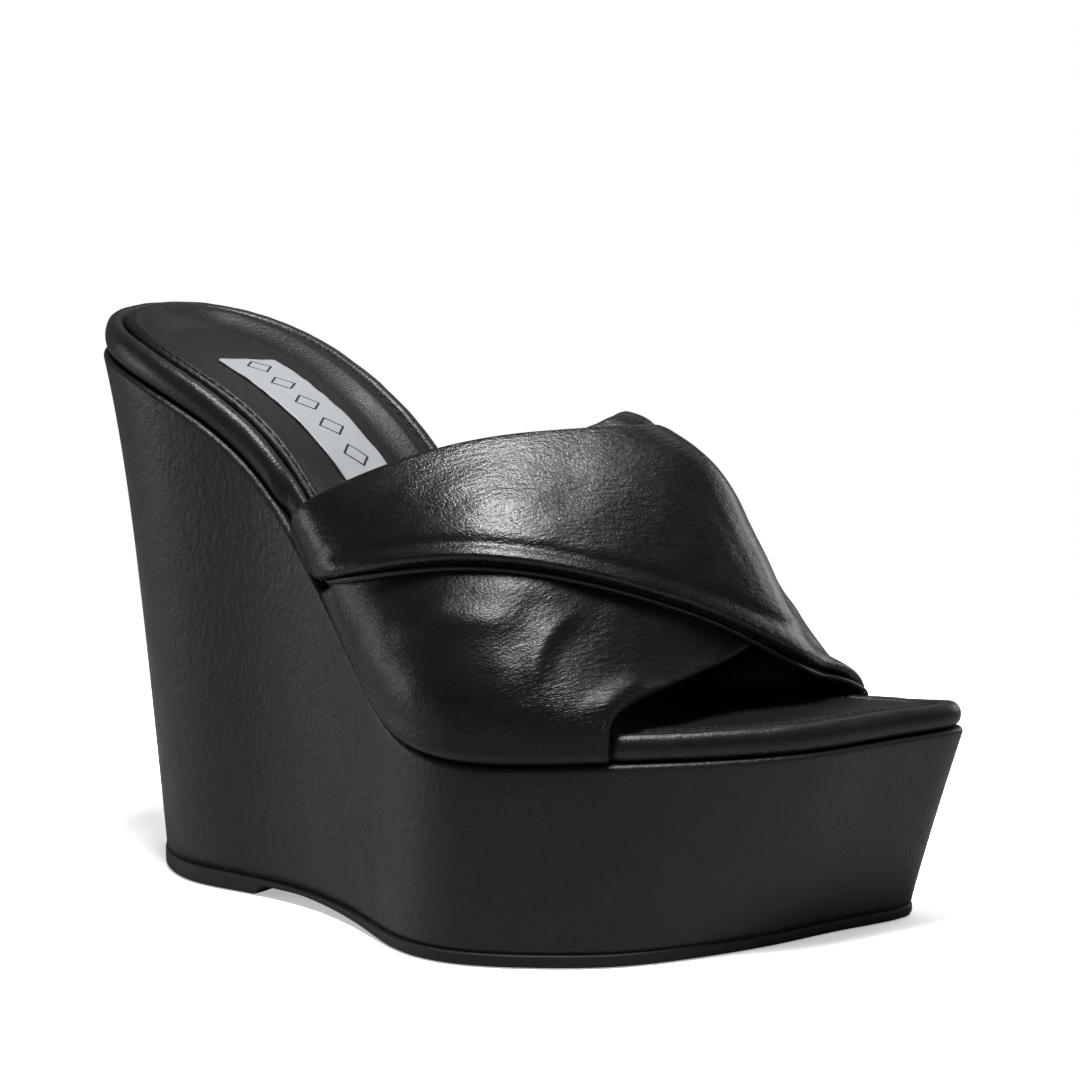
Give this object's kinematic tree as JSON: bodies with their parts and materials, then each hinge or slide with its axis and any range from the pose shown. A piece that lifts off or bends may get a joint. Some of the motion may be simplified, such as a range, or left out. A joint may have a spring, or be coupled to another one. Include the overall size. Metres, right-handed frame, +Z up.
{
  "type": "platform wedge sandal",
  "caption": "Right-foot slip-on platform wedge sandal: leather-covered wedge on a rubber sole, padded footbed and crossed puffy straps over the instep.",
  "frame": {"origin": "on the ground, at the middle of the sandal's bounding box", "axes": "+X to the toe, +Y to the inner side of the foot (the wearer's left), +Z up; the outer side faces -Y"},
  "size_m": [0.2223, 0.1034, 0.1372],
  "materials": {
    "outsole_rubber": "matt black moulded rubber, fine grain",
    "wedge_foam": "rigid moulded foam, matt",
    "wedge_leather": "smooth black leather, satin",
    "filler_cork": "cork sheet",
    "shank_steel": "rolled steel strip",
    "insole_fibre": "pressed fibreboard",
    "rivet_brass": "brass-plated",
    "fastener_steel": "zinc-plated",
    "padding_foam": "soft foam",
    "rand_leather": "smooth black leather, low gloss",
    "sock_leather": "smooth black leather, satin",
    "thread": "black waxed thread",
    "label_foil": "silver-white coated patch",
    "strap_lining": "thin black lining leather",
    "strap_leather": "soft black leather, pebbled, low gloss",
    "piping_leather": "black leather cord, glossy"
  },
  "bodies": {
    "root": {"outsole": "outsole_rubber", "wedge_core": "wedge_foam", "wedge_wrap": "wedge_leather", "bottom_filler": "filler_cork", "steel_shank": "shank_steel", "insole_board": "insole_fibre", "shank_rivets": "rivet_brass", "heel_screw": "fastener_steel", "heel_nails": "fastener_steel", "edge_padding": "padding_foam", "edge_rand": "rand_leather", "footbed_foam": "padding_foam", "sock_lining": "sock_leather", "sock_stitching": "thread", "label_patch": "label_foil", "under_strap_lining": "strap_lining", "under_strap_foam": "padding_foam", "under_strap_outer": "strap_leather", "over_strap_lining": "strap_lining", "over_strap_foam": "padding_foam", "over_strap_outer": "strap_leather", "over_strap_piping": "piping_leather"}
  },
  "joints": []
}
